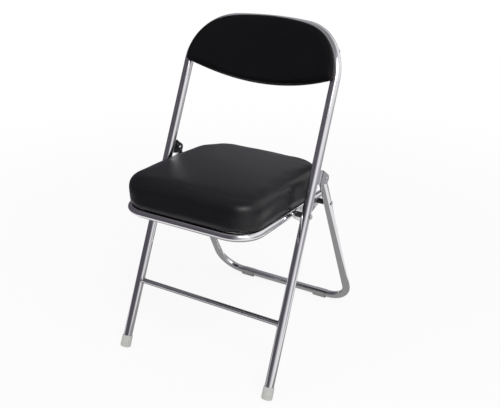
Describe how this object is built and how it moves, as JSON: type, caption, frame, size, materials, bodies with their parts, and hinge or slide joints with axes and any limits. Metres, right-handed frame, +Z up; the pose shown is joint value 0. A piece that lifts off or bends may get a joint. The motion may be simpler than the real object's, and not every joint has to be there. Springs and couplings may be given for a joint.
{
  "type": "folding chair",
  "caption": "Folding chair of chromed steel tube with a padded vinyl seat that swings up, a bowed padded backrest and rear legs that fold flat behind the front legs.",
  "frame": {"origin": "on the floor, in the middle of the open chair's plan", "axes": "+Z up, the sitter faces -Y, X across the chair; right in a name is +X, as seen from the front"},
  "size_m": [0.4372, 0.5138, 0.7882],
  "materials": {
    "chrome": "polished",
    "seat_vinyl": "soft vinyl, satin",
    "back_vinyl": "soft vinyl, matte",
    "board": "dark hardboard",
    "pale_plastic": "moulded",
    "grey_plastic": "moulded",
    "dark_plastic": "moulded",
    "plated_sheet": "grey nickel plate",
    "zinc_steel": "zinc plated"
  },
  "bodies": {
    "front_frame": {"front_frame_tube": "chrome", "stretcher": "plated_sheet", "backrest_board": "board", "backrest_pad": "back_vinyl", "backrest_screws": "zinc_steel", "front_foot_cap_left": "pale_plastic", "front_foot_cap_right": "pale_plastic", "rear_leg_bracket_left": "plated_sheet", "rear_leg_bracket_right": "plated_sheet", "rear_leg_pivot_rivet_left": "zinc_steel", "rear_leg_pivot_rivet_right": "zinc_steel", "seat_pivot_bolt_left": "zinc_steel", "seat_pivot_bolt_right": "zinc_steel", "seat_pivot_nut_left": "zinc_steel", "seat_pivot_nut_right": "zinc_steel", "seat_pivot_spacer_left": "dark_plastic", "seat_pivot_spacer_right": "dark_plastic"},
    "seat": {"seat_frame_tube": "chrome", "seat_tabs": "plated_sheet", "seat_screws": "zinc_steel", "seat_board": "board", "seat_cushion": "seat_vinyl", "seat_tube_plug_left": "dark_plastic", "seat_tube_plug_right": "dark_plastic", "seat_lug_left": "plated_sheet", "seat_lug_right": "plated_sheet"},
    "rear_leg": {"rear_leg_tube": "chrome", "rear_leg_plug_left": "dark_plastic", "rear_leg_plug_right": "dark_plastic", "rear_glide_left": "grey_plastic", "rear_glide_right": "grey_plastic", "link_rear_rivet_left": "zinc_steel", "link_rear_rivet_right": "zinc_steel", "link_rear_spacer_left": "dark_plastic", "link_rear_spacer_right": "dark_plastic"},
    "fold_links": {"fold_link_left": "plated_sheet", "fold_link_right": "plated_sheet", "link_front_rivet_left": "zinc_steel", "link_front_rivet_right": "zinc_steel"}
  },
  "joints": [
    {"name": "seat_fold", "type": "hinge", "parent": "front_frame", "child": "seat", "pos_m": [0, -0.04502, 0.39], "axis": [-1, 0, 0], "range_deg": [0, 110.9]},
    {"name": "rear_leg_fold", "type": "hinge", "parent": "front_frame", "child": "rear_leg", "pos_m": [0, 0.02657, 0.458], "axis": [-1, 0, 0], "range_deg": [0, 51.3]},
    {"name": "link_fold", "type": "hinge", "parent": "rear_leg", "child": "fold_links", "pos_m": [0, 0.064, 0.38091], "axis": [1, 0, 0], "range_deg": [0, 51.61]}
  ],
  "couplings": [
    {"joint": "rear_leg_fold", "follows": "seat_fold", "ratio": 0.46258},
    {"joint": "link_fold", "follows": "seat_fold", "ratio": 0.46537}
  ]
}
